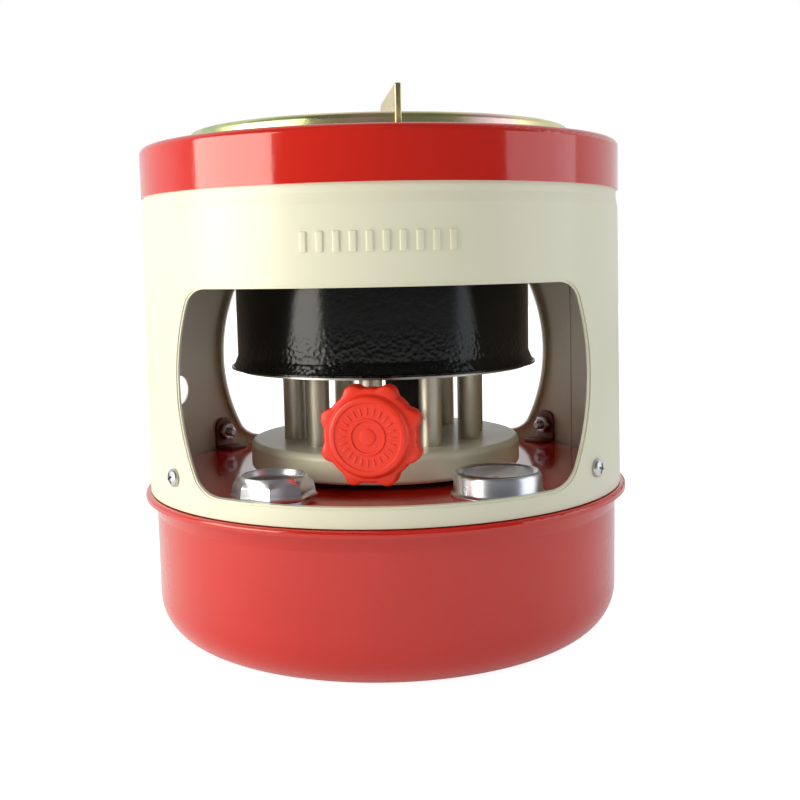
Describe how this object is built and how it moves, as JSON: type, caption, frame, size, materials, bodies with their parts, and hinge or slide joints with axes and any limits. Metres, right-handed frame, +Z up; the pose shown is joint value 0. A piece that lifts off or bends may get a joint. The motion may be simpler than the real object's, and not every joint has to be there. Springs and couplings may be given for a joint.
{
  "type": "wick stove",
  "caption": "Round paraffin wick stove: red tank, windowed cream shell, black burner drum, lobed knob and a lift-off plated pot ring.",
  "frame": {"origin": "on the floor, on the stove's upright axis, in the middle of the tank's base", "axes": "+Z up, front with the knob towards -Y, fuel gauge side towards +X"},
  "size_m": [0.2, 0.2, 0.2115],
  "materials": {
    "red_enamel": "glossy stoved paint",
    "cream_enamel": "satin stoved paint",
    "black_enamel": "glossy vitreous enamel with an uneven surface",
    "black_steel": "black painted steel",
    "zinc_steel": "bright zinc plate",
    "tube_steel": "bare rolled steel",
    "gasket_rubber": "matt",
    "brass": "bare",
    "wick_cotton": "braided cotton",
    "knob_plastic": "moulded, red-orange",
    "yellow_zinc": "yellow passivated zinc plate",
    "chrome": "bright chrome plate",
    "gauge_glass": "clear",
    "dial_paint": "matt white",
    "pointer_paint": "matt red",
    "float_foam": "sealed cork compound"
  },
  "bodies": {
    "stove": {"tank_pan": "red_enamel", "tank_deck": "red_enamel", "shell": "cream_enamel", "top_band": "red_enamel", "shell_tabs": "red_enamel", "shell_screws": "zinc_steel", "shell_nuts": "zinc_steel", "housing_gasket": "gasket_rubber", "wick_housing": "cream_enamel", "wick_tubes": "tube_steel", "burner_seat": "zinc_steel", "drive_case": "black_steel", "filler_neck": "zinc_steel", "gauge_tube": "brass", "gauge_dial": "dial_paint", "gauge_glass": "gauge_glass", "gauge_bezel": "chrome"},
    "knob": {"knob": "knob_plastic", "knob_shaft": "tube_steel", "pinion": "brass"},
    "wick_lift": {"rack": "brass", "wick_carrier": "zinc_steel", "wick_ferrules": "brass", "wicks": "wick_cotton"},
    "burner": {"burner_drum": "black_enamel", "outer_sleeve": "tube_steel", "inner_sleeve": "tube_steel", "flame_spreader": "tube_steel", "burner_pins": "tube_steel"},
    "pot_plate": {"pot_plate": "yellow_zinc", "pot_supports": "yellow_zinc"},
    "cap_seal": {"cap_gasket": "gasket_rubber"},
    "filler_cap": {"filler_cap": "chrome"},
    "gauge_float": {"gauge_float": "float_foam"},
    "gauge_needle": {"gauge_spindle": "brass", "gauge_pointer": "pointer_paint"}
  },
  "joints": [
    {"name": "knob_turn", "type": "hinge", "parent": "stove", "child": "knob", "pos_m": [-0.0048, -0.08, 0.0905], "axis": [0.2419, 0.9703, 0], "range_deg": [0, 205]},
    {"name": "wick_rise", "type": "slide", "parent": "stove", "child": "wick_lift", "axis": [0, 0, 1], "range_m": [0, 0.014]},
    {"name": "burner_lift", "type": "slide", "parent": "stove", "child": "burner", "axis": [0, 0, 1], "range_m": [0, 0.009]},
    {"name": "plate_lift", "type": "slide", "parent": "stove", "child": "pot_plate", "axis": [0, 0, 1], "range_m": [0, 0.06]},
    {"name": "cap_rise", "type": "slide", "parent": "stove", "child": "cap_seal", "axis": [0, 0, 1], "range_m": [0, 0.0061]},
    {"name": "cap_turn", "type": "hinge", "parent": "cap_seal", "child": "filler_cap", "pos_m": [-0.04152, -0.06467, 0.07], "axis": [0, 0, 1], "range_deg": [0, 720]},
    {"name": "float_rise", "type": "slide", "parent": "stove", "child": "gauge_float", "axis": [0, 0, 1], "range_m": [0, 0.04]},
    {"name": "needle_turn", "type": "hinge", "parent": "stove", "child": "gauge_needle", "pos_m": [0.04129, -0.06261, 0.069], "axis": [0, 0, 1], "range_deg": [0, 380]}
  ],
  "couplings": [
    {"joint": "knob_turn", "follows": "wick_rise", "rad_per_m": 250},
    {"joint": "cap_rise", "follows": "cap_turn", "m_per_rad": 0.00047746},
    {"joint": "needle_turn", "follows": "float_rise", "rad_per_m": 117.8}
  ]
}
